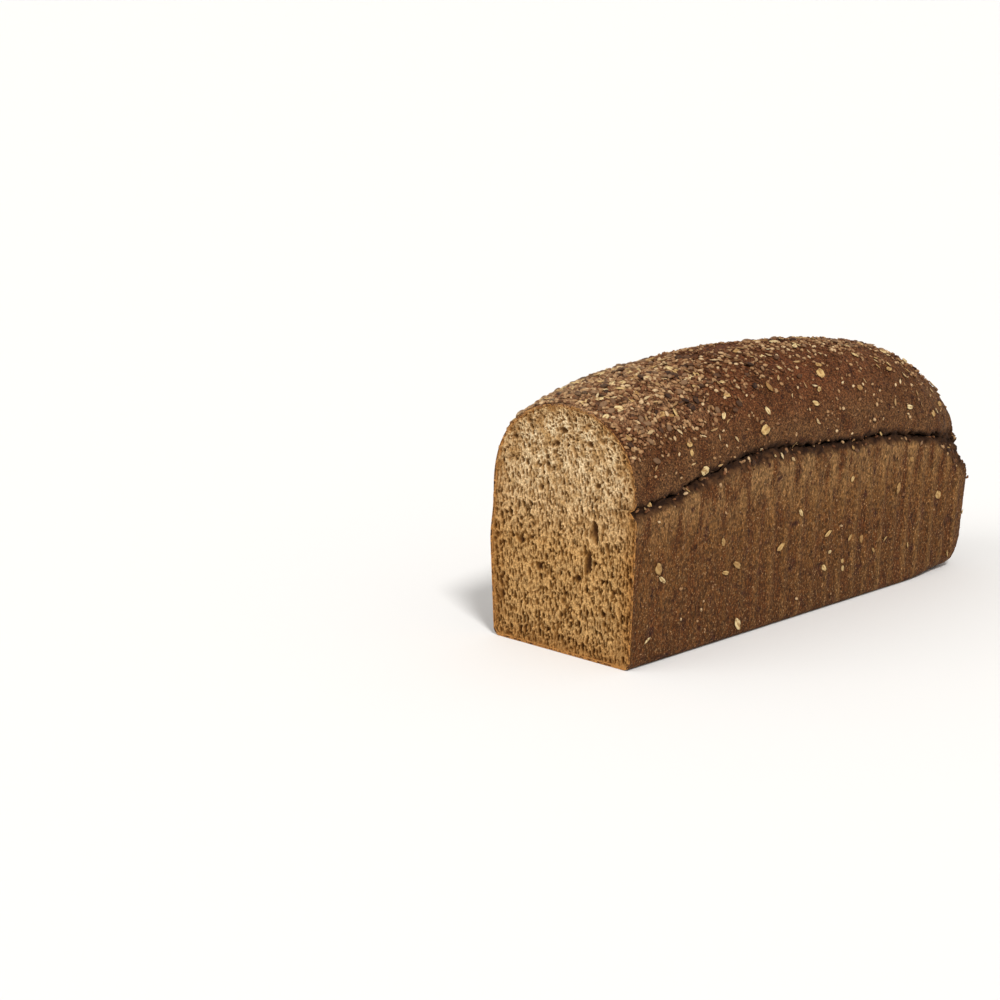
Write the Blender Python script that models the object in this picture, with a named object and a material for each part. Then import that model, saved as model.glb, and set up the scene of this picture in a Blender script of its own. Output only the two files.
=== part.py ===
"""A dark wholegrain tin loaf with a seeded top, cut square at its front end.

Metres, +Z up, +Y along the loaf. The cut face looks to -Y and the loaf rests on its flat bottom.
The lower part has the straight, ribbed walls of its tin, the upper part is the free-risen dome,
and a torn crease runs between them along both sides and round the far end.
"""

import math
import random

import bmesh
import bpy
from mathutils import Matrix, Vector

# The whole loaf
LENGTH = 0.300              # cut face to far end wall
HALF_WIDTH = 0.050          # half width at the top of the tin walls
WALL_TAPER = 0.0036         # how far each wall leans in at its foot
END_CORNER_RADIUS = 0.022   # upright corners of the far end
EDGE_RADIUS = 0.004         # bottom edge along the sides
END_EDGE_RADIUS = 0.022     # bottom edge under the far end
END_PULL_START = 0.235      # the sides begin to turn in towards the far end here
END_PULL = 0.45             # how much of the turn they have made at the upright corner

# The dome: its top line from the cut face back, as (distance from the cut, height)
TOP_LINE = ((0.0, 0.1258), (0.018, 0.1310), (0.045, 0.1350), (0.090, 0.1382), (0.130, 0.1395),
            (0.165, 0.1388), (0.200, 0.1360), (0.222, 0.1336), (0.240, 0.1310))
DOME_FULLNESS = 2.3         # exponent of the dome's arches, 2 is a plain ellipse
END_FULLNESS = 2.0          # the same at the far end
END_ROUNDNESS = 2.0         # exponent of the level sections there
DOME_SHIFT = 0.002          # the ridge stands a little towards +X
DOME_RUN_DOWN = 0.082       # length over which the dome rounds down to the far end
RUN_DOWN_START = 0.150      # the sections begin to lean towards the far end here
DOME_WAVE = 0.0007          # slow unevenness of the dome
DOME_WAVES = ((71.0, 55.0, 0.0), (43.0, -88.0, 1.7))   # radians per metre along and across, start

# The torn crease on the +X side lies between the top of the tin wall and the foot of the dome,
# both as (distance from the cut, height); it widens at the far end
WALL_LINE = ((0.0, 0.0772), (0.024, 0.0795), (0.060, 0.0866), (0.105, 0.0908), (0.135, 0.0892),
             (0.165, 0.0872), (0.205, 0.0858), (0.235, 0.0820), (0.249, 0.0796), (0.262, 0.0728),
             (0.278, 0.0612), (0.292, 0.0535), (0.300, 0.0515))
FOOT_LINE = ((0.0, 0.0812), (0.024, 0.0838), (0.060, 0.0922), (0.105, 0.0972), (0.135, 0.0940),
             (0.165, 0.0910), (0.205, 0.0895), (0.235, 0.0850), (0.262, 0.0815), (0.300, 0.0785))
CREASE_DROP = 0.0050        # how much lower both run on the -X side
CREASE_FLOOR = ((0.30, 0.0016), (0.65, 0.0026))   # rings of its floor, as (part of the way up, depth)
CREASE_RAGGED = 0.0007      # how far its lower edge strays
RAGGED_WAVES = ((390.0, 90.0), (211.0, -160.0))   # radians per metre along and across
FOOT_INSET_RIGHT = 0.0002   # the dome's foot behind the tin wall on the +X side
FOOT_INSET_LEFT = 0.0045    # on the -X side
FOOT_INSET_END = 0.0085     # and at the far end, where the dome is rounder than the tin
FOOT_TURN = (0.248, 0.292)  # the stretch over which it falls back to that
FOOT_BULGE = 0.0025         # the middle of the far end stands out again by this

# Ribs that the tin leaves on the walls
RIB_DEPTH = 0.0008
RIB_FADE_LOW = (0.006, 0.018)
RIB_FADE_HIGH = (0.004, 0.016)   # below the top of the wall

# Mesh steps
SIDE_STEPS = 46             # along each long wall
STEPS_PER_RIB = 2
CORNER_STEPS = 5
END_STEPS = 6
WALL_LEVELS = (0.0, 0.22, 0.46, 0.68, 0.86, 1.0)
EDGE_LEVELS = 3
DOME_LEVELS = 8

# Pores of the crumb: the biggest as (x, height, width, tall), the rest by a rule
BIG_PORES = ((0.0011, 0.1135, 0.0060, 0.0034), (0.0190, 0.1088, 0.0044, 0.0032),
             (-0.0035, 0.1062, 0.0044, 0.0032), (0.0222, 0.0663, 0.0046, 0.0090),
             (0.0184, 0.0500, 0.0042, 0.0116), (-0.0273, 0.0537, 0.0036, 0.0044),
             (-0.0147, 0.0419, 0.0036, 0.0044), (0.0315, 0.0579, 0.0026, 0.0070),
             (-0.0391, 0.0290, 0.0030, 0.0058))
SMALL_PORES = 18
SMALL_PORE_SIZE = (0.0022, 0.0034)
PORE_MARGIN = 0.007         # kept free inside the crust
PORE_DEPTH_RATIO = 0.55

# Toppings, as (name, count, length, width, thickness, share of them on the dome)
TOPPINGS = (("flake", 58, 0.0064, 0.0050, 0.0016, 0.80),
            ("kernel", 26, 0.0058, 0.0028, 0.0022, 0.96),
            ("sesame", 84, 0.0034, 0.0024, 0.0018, 0.93))
TOPPING_SUNK = 0.30         # part of the thickness that lies below the crust
TOPPING_GAP = 0.0007
TOPPING_CLEAR_OF_CUT = 0.004
TOPPING_CLEAR_OF_FLOOR = 0.010
TOPPING_SIZE_SPREAD = (0.85, 1.12)
TOPPING_TILT = 0.16         # radians either way
FLANK_SEEDS = 0.12          # how thick they lie low on the flanks, against 1 on top
FLANK_TO_TOP = (0.098, 0.130)
TOPPING_SEED = 11
PORE_SEED = 5

CRUST, CRUMB, SEEDS = 0, 1, 2
TIGHT = 0.00002             # merge distance after the Booleans
SHARP_ANGLE = 38.0          # edges turning by more than this many degrees stay sharp


def smooth_step(value, start, stop):
    """0 before start, 1 after stop, and a smooth climb between."""
    part = min(max((value - start) / (stop - start), 0.0), 1.0)
    return part * part * (3.0 - 2.0 * part)


def along_line(line, where):
    """Height of a smooth curve through the line's points at a distance from the cut."""
    last = len(line) - 1
    where = min(max(where, line[0][0]), line[last][0])
    k = max(i for i in range(last) if line[i][0] <= where)
    (x0, y0), (x1, y1) = line[k], line[k + 1]
    before, after = line[max(k - 1, 0)], line[min(k + 2, last)]
    slope0 = (y1 - before[1]) / (x1 - before[0])
    slope1 = (after[1] - y0) / (after[0] - x0)
    step = x1 - x0
    t = (where - x0) / step
    return ((2 * t ** 3 - 3 * t ** 2 + 1) * y0 + (t ** 3 - 2 * t ** 2 + t) * step * slope0
            + (3 * t ** 2 - 2 * t ** 3) * y1 + (t ** 3 - t ** 2) * step * slope1)


def plan_columns():
    """Upright columns round the loaf, as (x, distance from the cut, outward x, outward y)."""
    straight = LENGTH - END_CORNER_RADIUS
    inner = HALF_WIDTH - END_CORNER_RADIUS
    half = [(HALF_WIDTH, straight * i / SIDE_STEPS, 1.0, 0.0) for i in range(SIDE_STEPS)]
    for i in range(CORNER_STEPS):
        turn = 0.5 * math.pi * i / CORNER_STEPS
        out_x, out_y = math.cos(turn), math.sin(turn)
        half.append((inner + END_CORNER_RADIUS * out_x, straight + END_CORNER_RADIUS * out_y, out_x, out_y))
    half += [(inner - inner * i / END_STEPS, LENGTH, 0.0, 1.0) for i in range(END_STEPS)]
    mirrored = [(-x, y, -out_x, out_y) for x, y, out_x, out_y in reversed(half)]
    return half + [(0.0, LENGTH, 0.0, 1.0)] + mirrored


def wall_top(column):
    """Height of the tin wall's torn upper edge at a column."""
    x, along, out_x, out_y = column
    ragged = sum(math.sin(along * a + x * b) for a, b in RAGGED_WAVES)
    return along_line(WALL_LINE, along) - CREASE_DROP * 0.5 * (1.0 - out_x) + CREASE_RAGGED * ragged


def endness(column):
    """0 along the sides, 1 on the far end wall, with a smooth turn round the corner."""
    pull = END_PULL * smooth_step(column[1], END_PULL_START, LENGTH - END_CORNER_RADIUS)
    return max(pull, column[3] ** 0.5)


def dome_foot(column):
    """The point where the dome starts above the crease, behind the tin wall."""
    side_inset = FOOT_INSET_LEFT + (FOOT_INSET_RIGHT - FOOT_INSET_LEFT) * 0.5 * (1.0 + column[2])
    inset = side_inset + (FOOT_INSET_END - side_inset) * smooth_step(column[1], *FOOT_TURN)
    inset -= FOOT_BULGE * column[3] * math.cos(0.5 * math.pi * column[0] / HALF_WIDTH)
    height = along_line(FOOT_LINE, column[1]) - CREASE_DROP * 0.5 * (1.0 - column[2])
    return inset_point(column, inset, height)


def inset_point(column, inset, height):
    x, along, out_x, out_y = column
    return Vector((x - out_x * inset, along - out_y * inset, height))


def wall_point(column, height, top):
    """A point on the tin wall: leaning, and ribbed except near its foot and its upper edge."""
    lean = WALL_TAPER * (1.0 - height / top)
    fade = smooth_step(height, *RIB_FADE_LOW) * smooth_step(top - height, *RIB_FADE_HIGH)
    pitch = STEPS_PER_RIB * (LENGTH - END_CORNER_RADIUS) / SIDE_STEPS
    rib = 0.5 - 0.5 * math.cos(2.0 * math.pi * column[1] / pitch)
    rib *= abs(column[2])
    return inset_point(column, lean + RIB_DEPTH * rib * fade, height)


def edge_point(column, level, top):
    """A point on the rounded bottom edge, level 0 on the floor and 1 at the wall."""
    radius = EDGE_RADIUS + (END_EDGE_RADIUS - EDGE_RADIUS) * endness(column)
    turn = 0.5 * math.pi * level
    height = radius * (1.0 - math.cos(turn))
    lean = WALL_TAPER * (1.0 - height / top)
    return inset_point(column, lean + radius * (1.0 - math.sin(turn)), height)


def spine_point(column):
    """The point of the ridge that a column runs up to."""
    straight = LENGTH - END_CORNER_RADIUS
    pole = LENGTH - DOME_RUN_DOWN
    along = min(column[1], straight)
    along -= (straight - pole) * smooth_step(along, RUN_DOWN_START, straight)
    return Vector((DOME_SHIFT, along, along_line(TOP_LINE, along)))


def round_off(point, out, up):
    """Draw the far end's level sections in from the tin's plan to a rounder one, more so the higher they are."""
    pole = LENGTH - DOME_RUN_DOWN
    across = abs(point.x - DOME_SHIFT) / ((HALF_WIDTH - DOME_SHIFT) * out)
    beyond = max(point.y - pole, 0.0) / ((DOME_RUN_DOWN - FOOT_INSET_END) * out)
    over = (across ** END_ROUNDNESS + beyond ** END_ROUNDNESS) ** (1.0 / END_ROUNDNESS)
    if beyond > 0.0 and over > 1.0:
        keep = 1.0 + up * (1.0 / over - 1.0)
        point.x = DOME_SHIFT + (point.x - DOME_SHIFT) * keep
        point.y = pole + (point.y - pole) * keep


def dome_point(column, level, foot):
    """A point of the dome, level 0 at its foot and 1 on the ridge."""
    ridge = spine_point(column)
    turn = 0.5 * math.pi * level
    endward = smooth_step(column[1], RUN_DOWN_START, LENGTH - END_CORNER_RADIUS)
    power = 2.0 / (DOME_FULLNESS + (END_FULLNESS - DOME_FULLNESS) * endward)
    out = math.cos(turn) ** power if level < 1.0 else 0.0
    up = math.sin(turn) ** power
    point = Vector((ridge.x + (foot.x - ridge.x) * out, ridge.y + (foot.y - ridge.y) * out,
                    foot.z + (ridge.z - foot.z) * up))
    if out > 0.0:
        round_off(point, out, up)
    wave = sum(math.sin(point.y * a + point.x * b + start) for a, b, start in DOME_WAVES)
    point.z += DOME_WAVE * wave * up
    return point


def loaf_rings(columns):
    """Rings of points from the floor up to the ridge."""
    tops = [wall_top(c) for c in columns]
    feet = [dome_foot(c) for c in columns]
    rings = [[edge_point(c, i / EDGE_LEVELS, top) for c, top in zip(columns, tops)]
             for i in range(EDGE_LEVELS)]
    for level in WALL_LEVELS:
        ring = []
        for column, top in zip(columns, tops):
            low = edge_point(column, 1.0, top).z
            ring.append(wall_point(column, low + (top - low) * level, top))
        rings.append(ring)
    for level, depth in CREASE_FLOOR:
        ring = []
        for i, column in enumerate(columns):
            floor = rings[EDGE_LEVELS + len(WALL_LEVELS) - 1][i].lerp(feet[i], level)
            ring.append(floor - Vector((column[2] * depth, column[3] * depth, 0.0)))
        rings.append(ring)
    for i in range(DOME_LEVELS + 1):
        rings.append([dome_point(c, i / DOME_LEVELS, foot) for c, foot in zip(columns, feet)])
    return rings


def make_loaf_mesh():
    """Loft the rings, close the bottom and the cut face, and merge the two sides along the ridge."""
    bm = bmesh.new()
    move = Vector((0.0, -0.5 * LENGTH, 0.0))
    rings = [[bm.verts.new(point + move) for point in ring] for ring in loaf_rings(plan_columns())]
    for low, high in zip(rings, rings[1:]):
        for i in range(len(low) - 1):
            bm.faces.new((low[i], low[i + 1], high[i + 1], high[i])).material_index = CRUST
    bm.faces.new(list(reversed(rings[0]))).material_index = CRUST
    cut_edge = [ring[0] for ring in rings] + [ring[-1] for ring in reversed(rings)]
    bm.faces.new(cut_edge).material_index = CRUMB
    bmesh.ops.remove_doubles(bm, verts=bm.verts[:], dist=TIGHT)
    bmesh.ops.dissolve_degenerate(bm, edges=bm.edges[:], dist=TIGHT)
    bmesh.ops.recalc_face_normals(bm, faces=bm.faces[:])
    mesh = bpy.data.meshes.new("loaf")
    bm.to_mesh(mesh)
    bm.free()
    return mesh


def add_object(name, mesh, collection, materials):
    obj = bpy.data.objects.new(name, mesh)
    collection.objects.link(obj)
    for material in materials:
        mesh.materials.append(material)
    return obj


def half_width_at(height):
    """Half width of the cut face at a height."""
    top = WALL_LINE[0][1]
    if height < top:
        return HALF_WIDTH - WALL_TAPER * (1.0 - height / top)
    up = (height - top) / (TOP_LINE[0][1] - top)
    return (HALF_WIDTH - FOOT_INSET_LEFT) * max(1.0 - up ** DOME_FULLNESS, 0.0) ** (1.0 / DOME_FULLNESS)


def choose_pores():
    """The big pores and smaller ones spread between them, none touching another."""
    rng = random.Random(PORE_SEED)
    pores = list(BIG_PORES)
    while len(pores) < len(BIG_PORES) + SMALL_PORES:
        height = rng.uniform(PORE_MARGIN, TOP_LINE[0][1] - PORE_MARGIN)
        reach = half_width_at(height + 0.5 * PORE_MARGIN) - PORE_MARGIN
        width = rng.uniform(*SMALL_PORE_SIZE)
        tall = width * rng.uniform(1.0, 1.9)
        x = rng.uniform(-1.0, 1.0) * max(reach, 0.0)
        if reach > 0 and all(math.hypot(x - p[0], height - p[1]) > tall + p[3] for p in pores):
            pores.append((x, height, width, tall))
    return pores


def make_pore_mesh():
    """Ellipsoids centred on the cut face, one for each pore, which dent it."""
    bm = bmesh.new()
    for x, height, width, tall in choose_pores():
        place = Matrix.Translation((x, -0.5 * LENGTH, height))
        depth = PORE_DEPTH_RATIO * width
        size = Matrix.Diagonal((0.5 * width, depth, 0.5 * tall, 1.0))
        turn = Matrix.Rotation(0.5 * math.pi, 4, "X")
        bmesh.ops.create_uvsphere(bm, u_segments=7, v_segments=4, radius=1.0, matrix=place @ size @ turn)
    for face in bm.faces:
        face.material_index = CRUMB
    mesh = bpy.data.meshes.new("pores")
    bm.to_mesh(mesh)
    bm.free()
    return mesh


def topping_mesh(kind, length, width, thickness):
    """One topping lying on its flat side: a flat flake, or a plump seed drawn out to a point."""
    bm = bmesh.new()
    if kind == "flake":
        bmesh.ops.create_cone(bm, cap_ends=True, segments=7, radius1=0.5, radius2=0.36, depth=1.0)
    else:
        bmesh.ops.create_uvsphere(bm, u_segments=6, v_segments=3, radius=0.5)
        bmesh.ops.rotate(bm, verts=bm.verts[:], matrix=Matrix.Rotation(0.5 * math.pi, 3, "Y"))
    bmesh.ops.scale(bm, vec=(length, width, thickness), verts=bm.verts[:])
    for face in bm.faces:
        face.material_index = SEEDS
    mesh = bpy.data.meshes.new(kind)
    bm.to_mesh(mesh)
    bm.free()
    return mesh


def crust_spots(mesh):
    """Faces of the crust where a topping can lie, as (centre, normal, corners, area, on dome)."""
    spots = []
    for face in mesh.polygons:
        centre = face.center
        if face.material_index != CRUST or centre.y + 0.5 * LENGTH < TOPPING_CLEAR_OF_CUT:
            continue
        if centre.z < TOPPING_CLEAR_OF_FLOOR or abs(face.normal.z) > 0.999:
            continue
        corners = [mesh.vertices[i].co.copy() for i in face.vertices]
        column = (centre.x, centre.y + 0.5 * LENGTH, 1.0 if centre.x > 0 else -1.0, 0.0)
        above = centre.z > dome_foot(column).z
        if not above and centre.z > wall_top(column) - TOPPING_GAP:
            continue
        spots.append((centre.copy(), face.normal.copy(), corners, face.area, above))
    return spots


def dome_density(centre):
    """Seeds lie thick along the top and thin out down the flanks."""
    return FLANK_SEEDS + smooth_step(centre.z, *FLANK_TO_TOP)


def scatter_toppings(mesh, collection, materials):
    """Lay the toppings on the crust, the largest first, spaced so that none touches another."""
    rng = random.Random(TOPPING_SEED)
    spots = crust_spots(mesh)
    on_dome = [s for s in spots if s[4]]
    on_wall = [s for s in spots if not s[4]]
    dome_weights = [s[3] * dome_density(s[0]) for s in on_dome]
    wall_weights = [s[3] for s in on_wall]
    placed = []
    for kind, count, length, width, thickness, dome_share in TOPPINGS:
        shape = topping_mesh(kind, length, width, thickness)
        made = 0
        while made < count:
            dome = rng.random() < dome_share
            pool, weights = (on_dome, dome_weights) if dome else (on_wall, wall_weights)
            centre, normal, corners, area, on_top = rng.choices(pool, weights)[0]
            across, along = rng.random(), rng.random()
            near = corners[0].lerp(corners[1], across)
            far = corners[-1].lerp(corners[2], across)
            spot = near.lerp(far, along)
            size = rng.uniform(*TOPPING_SIZE_SPREAD)
            reach = 0.5 * length * size
            if any((spot - other).length < reach + taken + TOPPING_GAP for other, taken in placed):
                continue
            placed.append((spot, reach))
            made += 1
            proud = thickness * size * (0.5 - TOPPING_SUNK)
            turn = Matrix.Rotation(rng.uniform(0.0, 2.0 * math.pi), 4, "Z")
            tilt = Matrix.Rotation(rng.uniform(-TOPPING_TILT, TOPPING_TILT), 4, "X")
            lie = normal.to_track_quat("Z", "Y").to_matrix().to_4x4()
            obj = bpy.data.objects.new(kind, shape.copy())
            obj.data.transform(Matrix.Translation(spot + normal * proud) @ lie @ turn @ tilt
                               @ Matrix.Scale(size, 4))
            collection.objects.link(obj)
            for material in materials:
                obj.data.materials.append(material)


def apply_boolean(obj, operation, operand_type, operand):
    """Add one Boolean, bake it into the mesh and take the modifier off again."""
    modifier = obj.modifiers.new(operation.title(), "BOOLEAN")
    modifier.operation = operation
    modifier.solver = "EXACT"
    modifier.operand_type = operand_type
    if operand_type == "OBJECT":
        modifier.object = operand
    else:
        modifier.collection = operand
    bpy.context.view_layer.update()
    evaluated = obj.evaluated_get(bpy.context.evaluated_depsgraph_get())
    mesh = bpy.data.meshes.new_from_object(evaluated)
    obj.modifiers.clear()
    obj.data = mesh


def tidy_mesh(mesh):
    """Merge the tiny edges that a Boolean leaves, and triangulate."""
    bm = bmesh.new()
    bm.from_mesh(mesh)
    bmesh.ops.remove_doubles(bm, verts=bm.verts[:], dist=TIGHT)
    bmesh.ops.dissolve_degenerate(bm, edges=bm.edges[:], dist=TIGHT)
    bmesh.ops.triangulate(bm, faces=bm.faces[:], quad_method="BEAUTY", ngon_method="BEAUTY")
    bm.to_mesh(mesh)
    bm.free()


def finish(name, colour, roughness):
    """A plain Principled material in a linear colour."""
    material = bpy.data.materials.new(name)
    material.use_nodes = True
    shader = material.node_tree.nodes["Principled BSDF"]
    shader.inputs["Base Color"].default_value = (*colour, 1.0)
    shader.inputs["Roughness"].default_value = roughness
    shader.inputs["Metallic"].default_value = 0.0
    return material


def new_collection(name):
    collection = bpy.data.collections.new(name)
    bpy.context.scene.collection.children.link(collection)
    return collection


def main():
    for obj in list(bpy.data.objects):
        bpy.data.objects.remove(obj, do_unlink=True)
    parts = new_collection("seeded_tin_loaf")
    cutters = new_collection("cutters")
    toppings = new_collection("toppings")
    materials = (finish("dark wholegrain crust", (0.107, 0.046, 0.021), 0.62),
                 finish("wholegrain crumb", (0.402, 0.215, 0.085), 0.90),
                 finish("oat flakes and seeds", (0.560, 0.382, 0.165), 0.70))

    loaf = add_object("loaf", make_loaf_mesh(), parts, materials)
    pores = add_object("pores", make_pore_mesh(), cutters, materials)
    pores.hide_render = True
    pores.display_type = "WIRE"
    scatter_toppings(loaf.data, toppings, materials)

    apply_boolean(loaf, "DIFFERENCE", "OBJECT", pores)
    apply_boolean(loaf, "UNION", "COLLECTION", toppings)
    for obj in list(toppings.objects):
        bpy.data.objects.remove(obj, do_unlink=True)
    bpy.data.collections.remove(toppings)
    tidy_mesh(loaf.data)
    loaf.data.set_sharp_from_angle(angle=math.radians(SHARP_ANGLE))
    print("loaf triangles", len(loaf.data.polygons), "size in mm",
          [round(1000.0 * d, 1) for d in loaf.dimensions])


main()
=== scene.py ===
# %% [markdown]
# # A dark wholegrain tin loaf, cut at one end
# The loaf is dressed piece by piece over its measured frame: the crust that took the shape of the tin,
# the crust of the free-risen dome, the cut face with its open crumb, and the flakes and seeds on top.
# Lengths are in metres, +Z is up, and the cut face looks to -Y.

# %% Load the frame
import functools
import itertools
import math
import random

import bmesh
import bpy
import numpy as np
from mathutils import Matrix, Vector, noise


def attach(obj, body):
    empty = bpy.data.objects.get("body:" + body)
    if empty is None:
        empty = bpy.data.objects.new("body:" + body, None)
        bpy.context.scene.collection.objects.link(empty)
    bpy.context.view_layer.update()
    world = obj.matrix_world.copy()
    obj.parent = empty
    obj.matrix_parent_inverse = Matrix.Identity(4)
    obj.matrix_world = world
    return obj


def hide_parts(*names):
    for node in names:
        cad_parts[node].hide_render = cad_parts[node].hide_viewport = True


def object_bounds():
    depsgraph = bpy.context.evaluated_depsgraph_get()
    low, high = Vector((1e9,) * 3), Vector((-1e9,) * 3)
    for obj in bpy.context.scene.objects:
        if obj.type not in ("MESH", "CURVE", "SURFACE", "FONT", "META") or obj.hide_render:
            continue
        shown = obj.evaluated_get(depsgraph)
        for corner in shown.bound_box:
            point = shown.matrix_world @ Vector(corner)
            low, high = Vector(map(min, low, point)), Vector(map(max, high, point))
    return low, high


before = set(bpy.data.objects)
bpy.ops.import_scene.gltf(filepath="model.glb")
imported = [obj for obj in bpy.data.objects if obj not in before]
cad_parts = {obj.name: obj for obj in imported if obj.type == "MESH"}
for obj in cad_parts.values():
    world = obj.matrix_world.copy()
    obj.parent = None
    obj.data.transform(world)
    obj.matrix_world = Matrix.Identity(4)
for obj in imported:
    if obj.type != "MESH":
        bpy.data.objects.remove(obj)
cad_box = [list(corner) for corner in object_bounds()]
MM = 0.001
print("nodes", sorted(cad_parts), "box in mm", [[round(c / MM, 1) for c in end] for end in cad_box])

# %% [markdown]
# ## The camera and the light
# The camera comes first, so that every piece can be looked at as it is made. It stands where the
# photograph was taken from, about 1.2 m away at the cut corner and a little above the loaf. A broad
# light from above it, a little to the right, stands for a studio window and rakes over seeds and
# pores. A weak, soft one from the left and the sky fill the shadows. The sky is white at the horizon,
# so the floor's far edge doesn't show.

# %% Camera
camera_data = bpy.data.cameras.new("photo view")
camera_data.lens = 79.4
camera_data.sensor_width = 36.0
camera_data.clip_start = 0.05
camera = bpy.data.objects.new("photo view", camera_data)
camera.location = (0.7228, -0.9232, 0.3228)
forward = Vector((-0.6850, 0.6929, -0.2251))
camera.rotation_euler = forward.to_track_quat("-Z", "Y").to_euler()
bpy.context.collection.objects.link(camera)
bpy.context.scene.camera = camera
print("camera looks down by", round(math.degrees(math.asin(-forward.normalized().z)), 1), "degrees")


# %% Soft lamps
def soft_sun(name, azimuth, elevation, strength, spread):
    """Light from a far, large lamp; azimuth 0 is in front of the cut face and 90 on the side shown."""
    data = bpy.data.lights.new(name, "SUN")
    data.energy = strength
    data.angle = math.radians(spread)
    lamp = bpy.data.objects.new(name, data)
    side, rise = math.radians(azimuth), math.radians(elevation)
    towards = Vector((math.sin(side) * math.cos(rise), -math.cos(side) * math.cos(rise), math.sin(rise)))
    lamp.rotation_euler = towards.to_track_quat("Z", "Y").to_euler()
    bpy.context.collection.objects.link(lamp)
    return lamp


lamps = [soft_sun("window", 60.0, 48.0, 2.3, 11.0), soft_sun("fill", -25.0, 32.0, 0.75, 50.0)]
bpy.context.scene.view_settings.view_transform = "Standard"
print("lamps", [lamp.name for lamp in lamps])


# %% Colours, and the one function that adds nodes
def linear(hex_colour):
    """An sRGB hex colour as the linear one that a shader takes."""
    parts = [int(hex_colour[i:i + 2], 16) / 255.0 for i in (1, 3, 5)]
    return (*(p / 12.92 if p <= 0.04045 else ((p + 0.055) / 1.055) ** 2.4 for p in parts), 1.0)


def node(tree_owner, kind, sockets=None, out=None, **settings):
    """Add a node and return one output; sockets holds values, hex colours or other nodes' outputs."""
    made = tree_owner.node_tree.nodes.new("ShaderNode" + kind)
    if kind == "Mix":
        made.data_type = "RGBA"            # every mix in here is one of colours
    for name, value in settings.items():
        setattr(made, name, value)
    usable = [item for item in made.inputs if item.enabled]
    for name, value in (sockets or {}).items():
        socket = usable[name] if isinstance(name, int) else next(item for item in usable if item.name == name)
        if isinstance(value, bpy.types.NodeSocket):
            tree_owner.node_tree.links.new(value, socket)
        else:
            socket.default_value = linear(value) if isinstance(value, str) else value
    return next(item for item in made.outputs if item.enabled and out in (None, item.name))


print("mid brown is", [round(part, 3) for part in linear("#6b492e")[:3]], "in linear light")

# %% Sky
sky = bpy.data.worlds.new("studio")
sky.use_nodes = True
backdrop = sky.node_tree.nodes["Background"]
direction = node(sky, "TexCoord", out="Generated")
glow = node(sky, "MapRange", {"Value": node(sky, "SeparateXYZ", {"Vector": direction}, "Z"),
                              "From Min": 0.02, "From Max": 0.40, "To Min": 1.0, "To Max": 0.52})
sky.node_tree.links.new(glow, backdrop.inputs["Strength"])
backdrop.inputs["Color"].default_value = (1.0, 0.99, 0.975, 1.0)
bpy.context.scene.world = sky
print("sky", len(sky.node_tree.nodes), "nodes")

# %% [markdown]
# ## The shape of the loaf
# A tin loaf has two parts. Below, the dough filled the tin and has its straight, slightly leaning,
# ribbed walls. Above, it rose freely into a dome, and where the dome lifted off the tin a crease tore
# open. The named sizes are the solid's, but for about a millimetre on the top line, where seeds heap up.

# %% Sizes
LENGTH = 0.300
HALF_WIDTH = 0.050
WALL_TAPER = 0.0036
CORNER_RADIUS = 0.022
EDGE_RADIUS = 0.004
END_EDGE_RADIUS = 0.022
END_PULL = 0.45
TOP_LINE = ((0.0, 0.1258), (0.018, 0.1313), (0.045, 0.1362), (0.090, 0.1394), (0.130, 0.1400),
            (0.165, 0.1391), (0.200, 0.1354), (0.222, 0.1326), (0.240, 0.1298))
WALL_LINE = ((0.0, 0.0772), (0.024, 0.0795), (0.060, 0.0866), (0.105, 0.0908), (0.135, 0.0892),
             (0.165, 0.0872), (0.205, 0.0858), (0.235, 0.0820), (0.249, 0.0796), (0.262, 0.0728),
             (0.278, 0.0612), (0.292, 0.0535), (0.300, 0.0515))
FOOT_LINE = ((0.0, 0.0812), (0.024, 0.0838), (0.060, 0.0922), (0.105, 0.0972), (0.135, 0.0940),
             (0.165, 0.0910), (0.205, 0.0895), (0.235, 0.0850), (0.262, 0.0815), (0.300, 0.0785))
DOME_FULLNESS = 2.3
END_FULLNESS = 2.0
END_ROUNDNESS = 2.0
DOME_SHIFT = 0.002
DOME_RUN_DOWN = 0.082
RUN_DOWN_START = 0.150
FOOT_INSETS = (0.0002, 0.0045, 0.0085)   # right side, left side, far end
FOOT_TURN = (0.248, 0.292)
FOOT_BULGE = 0.0025
CREASE_DROP = 0.0050
SHOULDER = 0.0032          # the left wall leans in this much below the crease near the cut
SHOULDER_HEIGHT = 0.024
LIP_ROLL = 0.0016          # the dome's foot rolls in this much
LIP_HEIGHT = 0.0050
CREASE_RAGGED = 0.0007
RIB_DEPTH = 0.0008
RIB_PITCH = 2 * (LENGTH - CORNER_RADIUS) / 46
STRAIGHT = LENGTH - CORNER_RADIUS
HALF_ROUND = STRAIGHT + 0.5 * math.pi * CORNER_RADIUS + HALF_WIDTH - CORNER_RADIUS
print("way round the walls in mm", round(2 * HALF_ROUND / MM), "rib pitch", round(RIB_PITCH / MM, 2))


# %% Curves along the loaf
remember = functools.lru_cache(maxsize=4000)     # the outline's points are asked for again and again


def smooth_step(value, start, stop):
    """0 before start, 1 after stop, and a smooth climb between."""
    part = min(max((value - start) / (stop - start), 0.0), 1.0)
    return part * part * (3.0 - 2.0 * part)


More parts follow.
